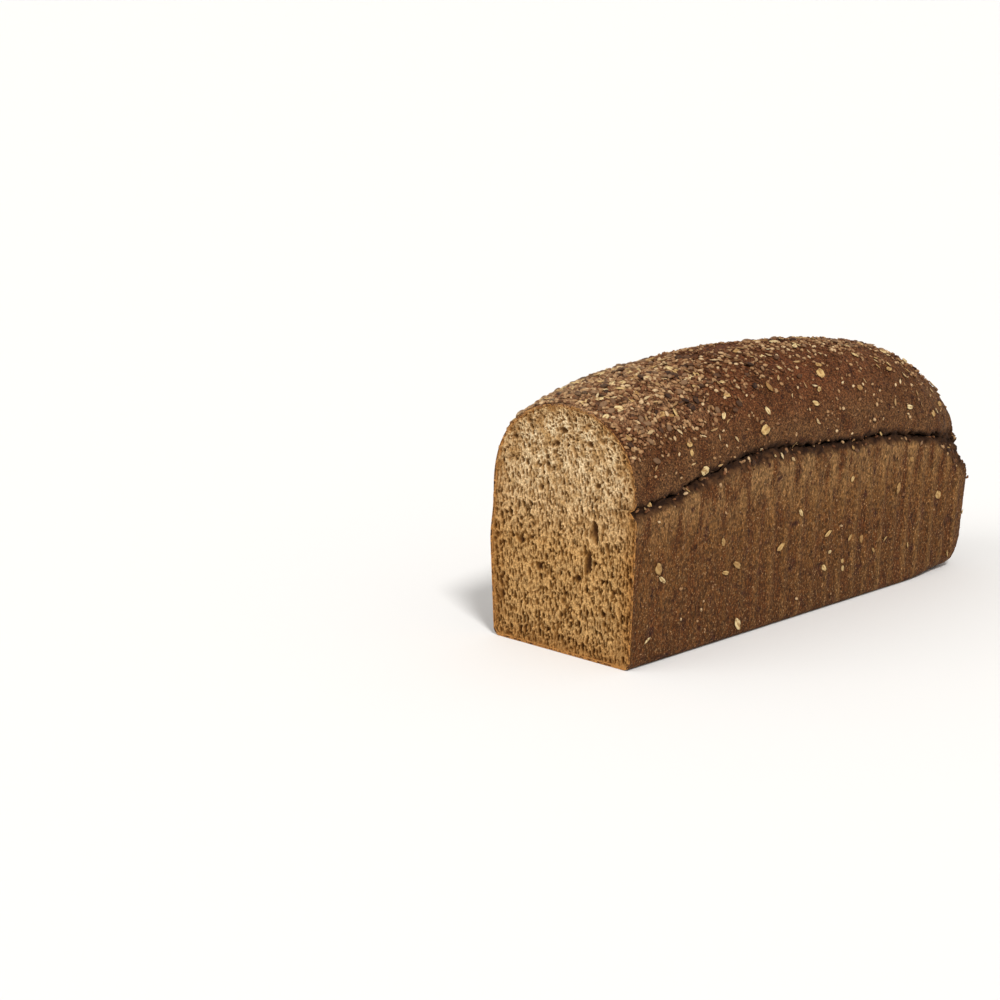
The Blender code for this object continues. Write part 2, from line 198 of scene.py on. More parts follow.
def along_line(line, where):
    """Height of a smooth curve through the line's points at a distance from the cut."""
    last = len(line) - 1
    where = min(max(where, line[0][0]), line[last][0])
    k = max(i for i in range(last) if line[i][0] <= where)
    (x0, y0), (x1, y1) = line[k], line[k + 1]
    before, after = line[max(k - 1, 0)], line[min(k + 2, last)]
    slope0 = (y1 - before[1]) / (x1 - before[0])
    slope1 = (after[1] - y0) / (after[0] - x0)
    t = (where - x0) / (x1 - x0)
    return ((2 * t ** 3 - 3 * t ** 2 + 1) * y0 + (t ** 3 - 2 * t ** 2 + t) * (x1 - x0) * slope0
            + (3 * t ** 2 - 2 * t ** 3) * y1 + (t ** 3 - t ** 2) * (x1 - x0) * slope1)


def column_at(way):
    """The upright line at a way round the walls from the cut: x, distance from the cut, outward x and y."""
    side = 1.0 if way <= HALF_ROUND else -1.0
    way = min(way, 2 * HALF_ROUND - way)
    turn = (way - STRAIGHT) / CORNER_RADIUS
    if turn <= 0.0:
        return side * HALF_WIDTH, way, side, 0.0
    if turn < 0.5 * math.pi:
        out_x, out_y = math.cos(turn), math.sin(turn)
        reach = HALF_WIDTH - CORNER_RADIUS + CORNER_RADIUS * out_x
        return side * reach, STRAIGHT + CORNER_RADIUS * out_y, side * out_x, out_y
    return side * (HALF_ROUND - way), LENGTH, 0.0, 1.0


# %% Points on the tin's walls and on the dome
@remember
def wall_top(column):
    """Height of the wall's torn upper edge."""
    x, along, out_x, out_y = column
    ragged = math.sin(along * 390.0 + x * 90.0) + math.sin(along * 211.0 - x * 160.0)
    coarse = noise.noise(Vector((x, along, 0.0)) / 0.0052)
    ragged += 1.5 * coarse + noise.noise(Vector((x, along, 0.5)) / 0.0023)
    return along_line(WALL_LINE, along) - CREASE_DROP * 0.5 * (1.0 - out_x) + CREASE_RAGGED * ragged


@remember
def near_left(column):
    """1 on the left wall near the cut, where the crease is hardly a step, and 0 elsewhere."""
    return 0.5 * (1.0 - column[2]) * (1.0 - smooth_step(column[1], 0.020, 0.070))


def inset_point(column, inset, height):
    x, along, out_x, out_y = column
    return Vector((x - out_x * inset, along - out_y * inset, height))


@remember
def edge_radius(column):
    endness = max(END_PULL * smooth_step(column[1], 0.235, STRAIGHT), column[3] ** 0.5)
    return EDGE_RADIUS + (END_EDGE_RADIUS - EDGE_RADIUS) * endness


@remember
def dome_foot(column):
    """Where the dome starts above the crease, behind the tin wall."""
    right, left, end = FOOT_INSETS
    side_inset = left + (right - left) * 0.5 * (1.0 + column[2])
    inset = side_inset + (end - side_inset) * smooth_step(column[1], *FOOT_TURN)
    inset -= FOOT_BULGE * column[3] * math.cos(0.5 * math.pi * column[0] / HALF_WIDTH)
    inset -= 0.0010 * near_left(column)
    place = Vector((column[0], column[1], 0.9))
    ragged = 0.0016 * noise.noise(place / 0.0085) + 0.0012 * noise.noise(place / 0.0033)
    height = along_line(FOOT_LINE, column[1]) - CREASE_DROP * 0.5 * (1.0 - column[2]) + ragged
    return inset_point(column, inset, height)


@remember
def spine_along(column):
    """Where on the ridge a column ends, as a distance from the cut."""
    along = min(column[1], STRAIGHT)
    return along - (STRAIGHT - LENGTH + DOME_RUN_DOWN) * smooth_step(along, RUN_DOWN_START, STRAIGHT)


def dome_point(column, level, foot):
    """A point of the dome, level 0 at its foot and 1 on the ridge."""
    along = spine_along(column)
    ridge = Vector((DOME_SHIFT, along, along_line(TOP_LINE, along)))
    turn = 0.5 * math.pi * level
    endness = smooth_step(column[1], RUN_DOWN_START, STRAIGHT)
    power = 2.0 / (DOME_FULLNESS + (END_FULLNESS - DOME_FULLNESS) * endness)
    out = math.cos(turn) ** power if level < 1.0 else 0.0
    up = math.sin(turn) ** power
    point = Vector((ridge.x + (foot.x - ridge.x) * out, ridge.y + (foot.y - ridge.y) * out,
                    foot.z + (ridge.z - foot.z) * up))
    pole = LENGTH - DOME_RUN_DOWN
    if out > 0.0 and point.y > pole:
        across = abs(point.x - DOME_SHIFT) / ((HALF_WIDTH - DOME_SHIFT) * out)
        beyond = (point.y - pole) / ((DOME_RUN_DOWN - FOOT_INSETS[2]) * out)
        over = (across ** END_ROUNDNESS + beyond ** END_ROUNDNESS) ** (1.0 / END_ROUNDNESS)
        keep = 1.0 + up * (1.0 / max(over, 1.0) - 1.0)
        point.x = DOME_SHIFT + (point.x - DOME_SHIFT) * keep
        point.y = pole + (point.y - pole) * keep
    wave = math.sin(point.y * 71.0 + point.x * 55.0) + math.sin(point.y * 43.0 - point.x * 88.0 + 1.7)
    point.z += 0.0004 * wave * up
    roll = LIP_ROLL * (1.0 - near_left(column)) * max(1.0 - (point.z - foot.z) / LIP_HEIGHT, 0.0) ** 2
    return point - Vector((column[2], column[3], 0.0)) * roll


half_way = column_at(0.5 * LENGTH)
print("dome over the middle in mm", round(dome_point(half_way, 1.0, dome_foot(half_way)).z / MM, 1))

# %% [markdown]
# ## One way to wrap a crust
# Both crusts are closed skins. Each starts as a flat grid: one direction runs from the cut along the
# right side, round the far end and back to the cut, the other from the middle of the underside
# outwards and up. Every grid point is then moved to its place on the loaf. The first three columns fold
# round the cut edge and leave a recess that the crumb fills, so the crust shows there with its thickness.

# %% Wrapping a grid
STEP = 0.00092              # spacing of the crust's mesh
CUT_BACK = 0.00035          # the crust starts this far behind the cut face
RIM = 0.0010                # thickness of the crust at the cut
RECESS = 0.0085             # room for the crumb


def levels(kind, count):
    """Rows of one kind, at even levels from 0 up to but without 1."""
    return [(kind, i / count) for i in range(count)]


def columns_of_a_crust():
    """(column, rim inset, push back) for every grid column, from the right cut edge round to the left."""
    count = round((HALF_ROUND - CUT_BACK) / STEP)
    ways = [CUT_BACK + (HALF_ROUND - CUT_BACK) * i / count for i in range(count + 1)]
    half = [(CUT_BACK, RIM, RECESS), (CUT_BACK, RIM, 0.0)] + [(way, 0.0, 0.0) for way in ways]
    mirrored = [(2 * HALF_ROUND - way, inset, push) for way, inset, push in reversed(half[:-1])]
    return [(column_at(way), inset, push) for way, inset, push in half + mirrored]


def towards_middle(point, inset):
    """The point moved towards the middle of the loaf's cross-section."""
    middle = Vector((min(max(point.x, -0.040), 0.040), point.y, min(max(point.z, 0.010), 0.085)))
    way = middle - point
    return point + way.normalized() * inset if way.length > inset else point


def face_outwards(bm):
    """Point every face out of a closed skin, which makes its volume positive."""
    bmesh.ops.recalc_face_normals(bm, faces=bm.faces[:])
    if bm.calc_volume(signed=True) < 0.0:
        bmesh.ops.reverse_faces(bm, faces=bm.faces[:])


def wrap_grid(rows, place):
    """Make a grid with one row for each entry and put every point where place(column, row) says."""
    columns = columns_of_a_crust()
    across, up = len(columns) - 1, len(rows) - 1
    bm = bmesh.new()
    bmesh.ops.create_grid(bm, x_segments=across, y_segments=up, size=1.0)
    for vert in bm.verts:
        column, inset, push = columns[round((vert.co.x + 1.0) * 0.5 * across)]
        row = rows[round((vert.co.y + 1.0) * 0.5 * up)]
        point = towards_middle(place(column, row), inset)
        point.y = max(point.y, push)
        vert.co = point - Vector((0.0, 0.5 * LENGTH, 0.0))
    bmesh.ops.remove_doubles(bm, verts=bm.verts[:], dist=0.00001)
    open_edges = [edge for edge in bm.edges if edge.is_boundary]
    bmesh.ops.edgeloop_fill(bm, edges=open_edges)
    face_outwards(bm)
    print("wrapped", len(bm.faces), "faces in", len(rows), "rows")
    return bm


def keep_piece(bm, name):
    """Turn a bmesh into a smooth object that rides on the loaf and stands for its solid."""
    loose = sum(len(edge.link_faces) != 2 for edge in bm.edges)
    volume = bm.calc_volume(signed=True) / MM ** 3 / 1000.0
    mesh = bpy.data.meshes.new(name)
    bm.to_mesh(mesh)
    bm.free()
    mesh.shade_smooth()
    piece = bpy.data.objects.new(name, mesh)
    bpy.context.collection.objects.link(piece)
    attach(piece, "root")
    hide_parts("loaf")
    mesh.calc_loop_triangles()
    print(name, len(mesh.loop_triangles), "triangles,", round(volume, 1), "cm3,", loose, "unshared edges")
    return piece


# %% [markdown]
# ## The tin-baked crust
# The walls were pressed against ribbed steel, so they are flat and matt, with narrow ribs 12 mm apart
# and fine pits. At their top the crust tore as the dome rose, and the tear is rough and crumbly. The
# relief moves the points along their normals by noise, which keeps the walls straight as a whole.

# %% Rows of the tin crust
FLOOR_ROWS = 8
EDGE_ROWS = 5
WALL_ROWS = 80
TEAR_ROWS = 24
TEAR_DEPTH = 0.0024
THROAT_LEVEL = 0.70         # the slit under the dome's lip, as a share of the tear's height
THROAT_INSET = 0.0050
THROAT_GAP = 0.0010
TOP_INSET = 0.0010          # the wall's upper edge is rounded in this much ...
TOP_ROUNDING = 0.0024       # ... over this height

tin_rows = levels("floor", FLOOR_ROWS) + levels("edge", EDGE_ROWS) + levels("wall", WALL_ROWS)
tin_rows += levels("tear", TEAR_ROWS) + [("tear", 1.0), ("throat", 0.0), ("middle", 0.0)]


@remember
def openness(column):
    """How far the crease gapes at a column, from nearly shut, 0.15, to wide open, 1."""
    slow = noise.noise(Vector((column[0], column[1], 0.2)) / 0.0130)
    return 0.15 + 0.85 * smooth_step(slow, -0.35, 0.35)


def tear_point(column, level):
    """A point of the tear between the wall's top, level 0, and the dome's foot, level 1."""
    shut = near_left(column)
    low = inset_point(column, TOP_INSET + (SHOULDER - TOP_INSET) * shut, wall_top(column))
    high = dome_point(column, 0.0, dome_foot(column))
    share = level / THROAT_LEVEL if level < THROAT_LEVEL else (1.0 - level) / (1.0 - THROAT_LEVEL)
    depth = TEAR_DEPTH * (1.0 - shut) * share ** 0.8 * (0.45 + 0.65 * openness(column))
    return low.lerp(high, level) - Vector((column[2], column[3], 0.0)) * depth


def throat_point(column, drop):
    """The hidden line inside the crease where both crusts turn in."""
    inset = 0.0012 + (THROAT_INSET - 0.0012) * smooth_step(column[1], 0.001, 0.012)
    return tear_point(column, THROAT_LEVEL) - Vector((column[2] * inset, column[3] * inset, drop))


def middle_point(column, drop):
    """The hidden line over the loaf's middle, one and the same for both sides, so that the halves meet."""
    along = max(spine_along(column), RECESS)
    return Vector((0.0, along, along_line(WALL_LINE, along) - 0.5 * CREASE_DROP - drop))


def tin_place(column, row):
    kind, level = row
    radius = edge_radius(column)
    top = wall_top(column)
    if kind == "floor":
        rim = inset_point(column, WALL_TAPER + radius, 0.0)
        return Vector((0.0, spine_along(column), 0.0)).lerp(rim, level)
    if kind == "edge":
        turn = 0.5 * math.pi * level
        height = radius * (1.0 - math.cos(turn))
        lean = WALL_TAPER * (1.0 - height / top)
        return inset_point(column, lean + radius * (1.0 - math.sin(turn)), height)
    if kind == "wall":
        height = radius + (top - radius) * level
        fade = smooth_step(height, 0.006, 0.018) * smooth_step(top - height, 0.004, 0.016)
        ridge = (0.5 + 0.5 * math.cos(2.0 * math.pi * column[1] / RIB_PITCH)) ** 2
        worn = 0.4 + 0.6 * smooth_step(column[1], 0.05, 0.16)
        inset = RIB_DEPTH * (1.0 - ridge) * abs(column[2]) * fade * worn
        inset += TOP_INSET * (1.0 - near_left(column)) * max(1.0 - (top - height) / TOP_ROUNDING, 0.0) ** 2
        inset += SHOULDER * near_left(column) * smooth_step(height, top - SHOULDER_HEIGHT, top)
        return inset_point(column, WALL_TAPER * (1.0 - height / top) + inset, height)
    if kind == "tear":
        return tear_point(column, THROAT_LEVEL * level)
    if kind == "throat":
        return throat_point(column, 0.0)
    return middle_point(column, 0.0)


tin_bm = wrap_grid(tin_rows, tin_place)


# %% Relief of the tin crust
CALM_CUT = (0.0004, 0.0030)      # the relief grows over these distances from the cut and from the floor
LUMPS, CRUMBS, HOLES = 0.0052, 0.0022, 0.0030     # sizes in the torn crumb


def ripple(point, size, octaves=3, stretch=1.0):
    """Soft noise between about -1 and 1 with features of a size in metres, drawn upwards by stretch."""
    return noise.fractal(Vector((point.x, point.y, point.z / stretch)) / size, 1.0, 2.0, octaves)


def roughen(bm, amount):
    """Move points along their normals by amount(point), less at the cut, but not out of the solid's box."""
    bm.normal_update()
    moves = []
    for vert in bm.verts:
        free = smooth_step(vert.co.y + 0.5 * LENGTH, *CALM_CUT)
        moves.append(vert.normal * free * amount(vert.co))
    for vert, move in zip(bm.verts, moves):
        vert.co = [min(max(c, low), high) for c, low, high in zip(vert.co + move, *cad_box)]


def outline_column(point):
    """The column a finished point belongs to, near enough for masks."""
    x, along = point.x, point.y + 0.5 * LENGTH
    if along > STRAIGHT:
        out = Vector((abs(x) - HALF_WIDTH + CORNER_RADIUS, along - STRAIGHT))
        out = out.normalized() if out.x > 0 else Vector((0.0, 1.0))
        return x, along, math.copysign(out.x, x), out.y
    return x, along, math.copysign(1.0, x), 0.0


def crease_shares(point):
    """1 in the torn crease and 0 on the crusts; and a share of painted shade, 1 at its throat, 0 a few
    millimetres off.
    """
    column = outline_column(point)
    top, foot = wall_top(column), dome_foot(column).z
    below = smooth_step(point.z, top - 0.0034, top + 0.0002)
    torn = below * (1.0 - smooth_step(point.z, foot - 0.0008, foot + 0.0030))
    off = abs(point.z - top - THROAT_LEVEL * (foot - top))
    return torn, 1.0 - smooth_step(off, 0.0004, 0.0044)


def torn_relief(point):
    """Lumps and holes of the torn crumb, in mm, largest at the far end."""
    frayed = 1.0 + 0.7 * smooth_step(point.y, 0.100, 0.140)
    lumps = frayed * (1.40 * ripple(point, LUMPS) + 0.90 * ripple(point, CRUMBS)) + frayed - 1.0
    return lumps - 0.10 - 1.0 * max(ripple(point, HOLES) - 0.15, 0.0)


def tin_relief(point):
    lifted = smooth_step(point.z, *CALM_CUT)
    pits = max(ripple(point, 0.0017, 2, 2.2) - 0.28, 0.0)
    wall = 0.16 * ripple(point, 0.0100) + 0.15 * ripple(point, 0.0020) + 0.12 * ripple(point, 0.0026, 2, 4.0)
    wall -= 0.60 * pits + 0.12
    return MM * lifted * (wall + (torn_relief(point) - wall) * crease_shares(point)[0])


def mark_tear(bm):
    """Keep where the torn crumb is, and where shade is painted at its throat, for the finish."""
    tear_layer = bm.verts.layers.float.new("tear")
    throat_shade_layer = bm.verts.layers.float.new("throat")
    for vert in bm.verts:
        vert[tear_layer], vert[throat_shade_layer] = crease_shares(vert.co)


roughen(tin_bm, tin_relief)
mark_tear(tin_bm)
tin_crust = keep_piece(tin_bm, "tin_crust")

# %% [markdown]
# ## The dome's crust
# Above the crease the skin dried in the oven's heat, and is finely wrinkled and blistered. Its lower
# edge is a lip that hangs slightly over the tear. It is wrapped in the same way, from the hidden throat
# of the crease, round the lip and up to the ridge.

# %% Rows of the dome
DOME_ROWS = 84
LIP_ROWS = 14
dome_rows = [("middle", 0.0), ("throat", 0.0)] + levels("lip", LIP_ROWS)
dome_rows += levels("dome", DOME_ROWS) + [("dome", 1.0)]


def dome_place(column, row):
    kind, level = row
    if kind == "middle":
        return middle_point(column, -THROAT_GAP)
    gap = THROAT_GAP * openness(column)
    if kind == "throat":
        return throat_point(column, -gap)
    if kind == "lip":
        rise = Vector((0.0, 0.0, gap * (1.0 - level)))
        return tear_point(column, THROAT_LEVEL + (1.0 - THROAT_LEVEL) * level) + rise
    return dome_point(column, level, dome_foot(column))


dome_bm = wrap_grid(dome_rows, dome_place)


# %% Relief of the dome
def dome_relief(point):
    skin = 0.30 * ripple(point, 0.0120) + 0.26 * ripple(point, 0.0034, 3, 1.6) + 0.14 * ripple(point, 0.0018)
    skin -= 0.70 * max(ripple(point, 0.0021, 2, 1.6) - 0.28, 0.0) + 0.10
    skin += 0.4 * max(ripple(point + Vector((0.3, 0.1, 0.7)), 0.0060) - 0.25, 0.0)
    return MM * (skin + (torn_relief(point) - skin) * crease_shares(point)[0])


roughen(dome_bm, dome_relief)
mark_tear(dome_bm)
dome_crust = keep_piece(dome_bm, "dome_crust")

# %% [markdown]
# ## The cut face
# A bread knife left a flat face with the crumb's small gas cells cut open, drawn upwards in the lower
# two thirds and rounder under the dome. The face is a fine grid shaped to the loaf's section, and every
# cell is a real hollow in it, so its shadows move with the light.

# %% Outline of the cut
SECTION = column_at(0.0)
SECTION_LEFT = column_at(2 * HALF_ROUND)
EDGE_FACE_ROWS = 6
WALL_FACE_ROWS = 170
TEAR_FACE_ROWS = 12
ARCH_FACE_ROWS = 150
FACE_COLUMNS = 262


def face_heights():
    """Outline points of the cut on the right and on the left, level by level from the floor up."""
    pairs = []
    for column in (SECTION, SECTION_LEFT):
        foot = dome_foot(column)
        arch = levels("dome", ARCH_FACE_ROWS) + [("dome", 1.0)]
        below = levels("edge", EDGE_FACE_ROWS) + levels("wall", WALL_FACE_ROWS)
        line = [tin_place(column, row) for row in below]
        line += [tear_point(column, level) for _, level in levels("tear", TEAR_FACE_ROWS)]
        line += [dome_point(column, level, foot) for _, level in arch]
        pairs.append(line)
    return list(zip(*pairs))


face_lines = face_heights()
face_bm = bmesh.new()
bmesh.ops.create_grid(face_bm, x_segments=FACE_COLUMNS, y_segments=len(face_lines) - 1, size=1.0)
for vert in face_bm.verts:
    right, left = face_lines[round((vert.co.y + 1.0) * 0.5 * (len(face_lines) - 1))]
    vert.co = left.lerp(right, (vert.co.x + 1.0) * 0.5)
bmesh.ops.remove_doubles(face_bm, verts=face_bm.verts[:], dist=0.000002)
print("cut face", len(face_bm.faces), "faces")

# %% [markdown]
# The few large hollows are placed where the eye finds them, the middle ones are spread by a seeded
# rule, and the finest are the cells of a Voronoi pattern, as close as real bubbles, with thin walls
# between. Stretching the pattern upwards gives the drawn-out cells of the lower crumb.

# %% Cells of the crumb
# across, height, width and tall in mm
BIG_PORES = ((1.1, 113.5, 6.4, 3.2), (19.0, 108.8, 4.6, 3.2), (-3.5, 106.2, 4.4, 3.2), (22.2, 66.3, 4.8, 9.0),
             (18.4, 50.0, 4.2, 12.0), (-27.3, 53.7, 3.8, 4.6), (-14.7, 41.9, 3.8, 4.4),
             (31.5, 57.9, 2.2, 7.0), (-40.5, 22.5, 3.0, 5.6), (-13.5, 82.7, 3.4, 3.8),
             (24.0, 89.0, 3.2, 3.6), (11.2, 40.5, 3.6, 4.0), (-31.6, 106.0, 3.2, 3.0),
             (35.0, 37.0, 2.6, 4.6), (29.4, 20.6, 2.6, 3.8), (3.2, 31.3, 2.8, 3.6))
SPREAD_PORES = 300
MEDIUM_CELL, SMALL_CELL = 2.0, 1.1          # pitch of the fine cells in mm
# Cells darken with depth down to this, partly their own colour and partly painted shade.
PORE_SHADE_DEPTH = 2.4                       # a cell this deep in mm has its darkest colour
CRUMB_LIMIT = 0.0046        # no cell is deeper
rng = random.Random(21)
noise.seed_set(21)          # noise_vector starts from the clock without it


def spread_pores():
    """Middle-sized pores as (x, height, width, tall) in mm."""
    pores = [(*pore, 1.0) for pore in BIG_PORES]
    for _ in range(SPREAD_PORES):
        height = rng.uniform(3.0, 122.0)
        high = smooth_step(height, 82.0, 104.0)
        width = rng.uniform(1.1, 2.3) * (1.0 + 0.35 * high)
        tall = width * rng.uniform(1.2, 2.9) * (1.0 - 0.45 * high)
        pores.append((rng.uniform(-47.0, 47.0), height, width, tall, rng.uniform(0.45, 0.9)))
    return pores


def pore_bowls(x, z):
    """Depth in mm that the large and middle pores give at each point, with steep walls."""
    depth = np.zeros_like(x)
    for px, pz, width, tall, share in spread_pores():
        near = np.nonzero((abs(x - px) < width) & (abs(z - pz) < tall))[0]
        lean = 0.22 * (z[near] - pz) * math.sin(px)
        out = np.hypot((x[near] - px + lean) / (0.5 * width), (z[near] - pz) / (0.5 * tall))
        bowl = np.clip(1.15 - out, 0.0, 1.0) ** 0.6 * min(0.8 * width, 3.2) * share
        depth[near] = np.maximum(depth[near], bowl)
    return depth


def fine_cells(across, up, pitch, seed):
    """0 on the thin walls between cells, up to 1 in the deepest ones; across, up and pitch in mm."""
    place = Vector((across / pitch, seed, up / pitch))
    place += noise.noise_vector(place * 0.9) * 0.22 + noise.noise_vector(place * 3.1) * 0.10
    distances, centres = noise.voronoi(place)
    hollow = smooth_step(distances[1] - distances[0], 0.03, 0.42)
    return hollow * min(0.30 + abs(noise.noise(centres[0] * 7.3)) * 1.7, 1.0)


points = [vert.co.copy() for vert in face_bm.verts]
x_mm = np.array([p.x / MM for p in points])
z_mm = np.array([p.z / MM for p in points])
depth_mm = pore_bowls(x_mm, z_mm)
print("pores reach", round(float(depth_mm.max()), 1), "mm deep")

# %% Pressing the cells into the face
outline = [pair[0] for pair in face_lines[::3]] + [pair[1] for pair in face_lines[::3]]
outline_x = np.array([p.x / MM for p in outline])
outline_z = np.array([p.z / MM for p in outline])
edge_mm = np.minimum(z_mm, np.full_like(z_mm, 99.0))
for start in range(0, len(points), 4000):
    part = slice(start, start + 4000)
    gaps = np.hypot(x_mm[part, None] - outline_x, z_mm[part, None] - outline_z)
    edge_mm[part] = np.minimum(edge_mm[part], gaps.min(axis=1))

steps = np.arange(0.0, 150.0)
stretch = np.interp(steps, (70.0, 108.0), (2.4, 1.3))
up_mm = np.interp(z_mm, steps, np.cumsum(1.0 / stretch))      # height with the cells' stretch taken out
for i in range(len(points)):
    medium = fine_cells(x_mm[i], up_mm[i], MEDIUM_CELL, 3.0)
    small = fine_cells(x_mm[i], up_mm[i], SMALL_CELL, 8.0)
    depth_mm[i] = max(depth_mm[i], 2.7 * medium) + 1.00 * small

inner = np.clip((edge_mm - 0.3) / 0.9, 0.0, 1.0)
depth_mm = np.minimum(depth_mm * (0.10 + 0.90 * inner), CRUMB_LIMIT / MM)
pore_shade_layer = face_bm.verts.layers.float.new("pore")
edge_layer = face_bm.verts.layers.float.new("edge")
for i, vert in enumerate(face_bm.verts):
    rough = 0.25 * ripple(points[i], 0.0016) * min(edge_mm[i], 1.0)
    vert.co.y = MM * max(depth_mm[i] + rough + 0.1, 0.02)
    vert[pore_shade_layer] = min(depth_mm[i] / PORE_SHADE_DEPTH, 1.0)
    vert[edge_layer] = edge_mm[i]
print("mean depth", round(float(depth_mm.mean()), 2), "mm")

# %% Closing the slice behind the face
RIM_FRAY, RIM_FRAY_MORE = 0.00015, 0.00022
SLAB_STEPS = ((-0.00015, 0.00035), (0.0013, 0.00050), (0.0, 0.0080))    # step inwards, place behind the cut
rim = [edge for edge in face_bm.edges if edge.is_boundary]
for vert in {v for edge in rim for v in edge.verts}:
    vert.co = towards_middle(vert.co, RIM_FRAY + RIM_FRAY_MORE * abs(ripple(vert.co, 0.0030)))
for inset, back in SLAB_STEPS:
    made = bmesh.ops.extrude_edge_only(face_bm, edges=rim)
    rim = [item for item in made["geom"] if isinstance(item, bmesh.types.BMEdge)]
    rim = [edge for edge in rim if edge.is_boundary]
    for vert in {v for edge in rim for v in edge.verts}:
        vert.co.y = 0.0
        vert.co = towards_middle(vert.co, inset)
        vert.co.y = back
bmesh.ops.edgeloop_fill(face_bm, edges=rim)
bmesh.ops.translate(face_bm, verts=face_bm.verts[:], vec=(0.0, -0.5 * LENGTH, 0.0))
face_outwards(face_bm)
crumb = keep_piece(face_bm, "crumb")

# %% [markdown]
# ## Flakes and seeds
# Five kinds lie on the crust: rolled oats, flat ovals with a crease; thin oat husks; sesame, flat drops;
# dark linseed and sunflower kernels; and chips of bran and coarse meal. Each kind has four shapes of
# few faces, copied to many places and joined in one piece. They lie thick along the top near the cut
# and thin out down the flanks. Every copy has its own turn, tilt, size and shade.


# %% Shapes of the seeds
def ball(subdivisions=2):
    """A faceted ball 1 across, which every kind is shaped from."""
    bm = bmesh.new()
    bmesh.ops.create_icosphere(bm, subdivisions=subdivisions, radius=0.5)
    return bm


def oat_flake(seed):
    """A rolled oat, 1 across, flat and curled, with the crease of the grain."""
    bm = ball()
    bmesh.ops.scale(bm, vec=(1.0, 0.74, 0.17), verts=bm.verts[:])
    # The crease mask dents the flake and also marks where the finish paints shade.
    crease = bm.verts.layers.float.new("crease")
    for vert in bm.verts:
        vert[crease] = 1.0 if abs(vert.co.y) < 0.06 and vert.co.z > 0.0 else 0.0
        ragged = 1.0 + 0.30 * noise.noise(vert.co * 4.0 + Vector((seed, 0.0, 0.0)))
        vert.co.x *= ragged
        vert.co.y *= ragged
        vert.co.z += 0.16 * vert.co.x ** 2 + 0.10 * vert.co.y ** 2
        vert.co.z -= 0.07 * vert[crease]
    return bm


def sesame_seed(seed):
    """A flat drop, 1 long, pointed at one end."""
    bm = ball()
    for vert in bm.verts:
        narrow = 0.64 * (1.0 - 0.55 * smooth_step(vert.co.x, -0.05, 0.5))
        vert.co.y *= narrow * (1.0 + 0.2 * noise.noise(vert.co * 5.0 + Vector((seed, 0.0, 0.0))))
        vert.co.z *= 0.46
    return bm


def dark_kernel(seed):
    """A plump kernel, 1 long, pointed at both ends."""
    bm = ball()
    for vert in bm.verts:
        narrow = 0.60 * (1.0 - 0.45 * abs(2.0 * vert.co.x) ** 3)
        vert.co.y *= narrow * (1.0 + 0.2 * noise.noise(vert.co * 5.0 + Vector((seed, 0.0, 0.0))))
        vert.co.z *= 0.62 * narrow
    return bm


def bran_chip(seed):
    """A broken, flat chip."""
    bm = ball(1)
    for vert in bm.verts:
        vert.co *= 1.0 + 0.8 * noise.noise(vert.co * 3.0 + Vector((seed, 0.0, 0.0)))
    bmesh.ops.scale(bm, vec=(1.0, 0.78, 0.52), verts=bm.verts[:])
    return bm


def oat_husk(seed):
    """A thin pointed husk, slightly bent."""
    bm = ball()
    for vert in bm.verts:
        point = 1.0 - 0.75 * abs(2.0 * vert.co.x) ** 2
        vert.co.y *= 0.30 * point
        vert.co.z *= 0.16 * point
        vert.co.y += 0.05 * seed * vert.co.x ** 2
        vert.co.z += 0.25 * vert.co.x ** 2
    return bm


print("an oat flake has", len(oat_flake(0.0).faces), "faces, a chip", len(bran_chip(0.0).faces))


# %% Where seeds can lie
def ground_of(piece):
    """Centres, outward normals and areas of a crust's faces, as arrays."""
    mesh = piece.data
    count = len(mesh.polygons)
    centres, normals, areas = np.empty(3 * count), np.empty(3 * count), np.empty(count)
    mesh.polygons.foreach_get("center", centres)
    mesh.polygons.foreach_get("normal", normals)
    mesh.polygons.foreach_get("area", areas)
    return centres.reshape(-1, 3), normals.reshape(-1, 3), areas


def ramp(values, start, stop):
    part = np.clip((values - start) / (stop - start), 0.0, 1.0)
    return part * part * (3.0 - 2.0 * part)


def clumps(centres, size):
    """Slow noise from 0 to 1 at each place, which gathers seeds in clumps."""
    values = np.array([noise.noise(Vector(c) / size) for c in centres])
    return np.clip(0.5 + 0.9 * values, 0.0, 1.0)


def dome_thickness(centres, normals):
    """How thickly seeds lie on the dome: along the top, most of all near the cut and to the left."""
    x, along = centres[:, 0], centres[:, 1] + 0.5 * LENGTH
    steep = 0.35 * ramp(along, 0.06, 0.16) - 0.10 * ramp(along, 0.16, 0.24)
    top = ramp(normals[:, 2] - steep, 0.35, 0.75)
    near = 1.0 - 0.80 * ramp(along, 0.045, 0.100)
    left = 1.0 - 0.50 * ramp(x, -0.015, 0.030)
    return top * near * left * (0.10 + clumps(centres, 0.010)) * (along > 0.0015)


dome_ground = ground_of(dome_crust)
tin_ground = ground_of(tin_crust)
print("faces to choose from", len(dome_ground[2]), len(tin_ground[2]))


# %% Scattering one kind
SEED_CELL = 0.006           # neighbours are looked for in cells of this size
SEED_LEAN = 0.30            # spread of the seeds' lean, in radians
LEAN_LIFT = 0.22            # a leaning seed is lifted by this share of its length


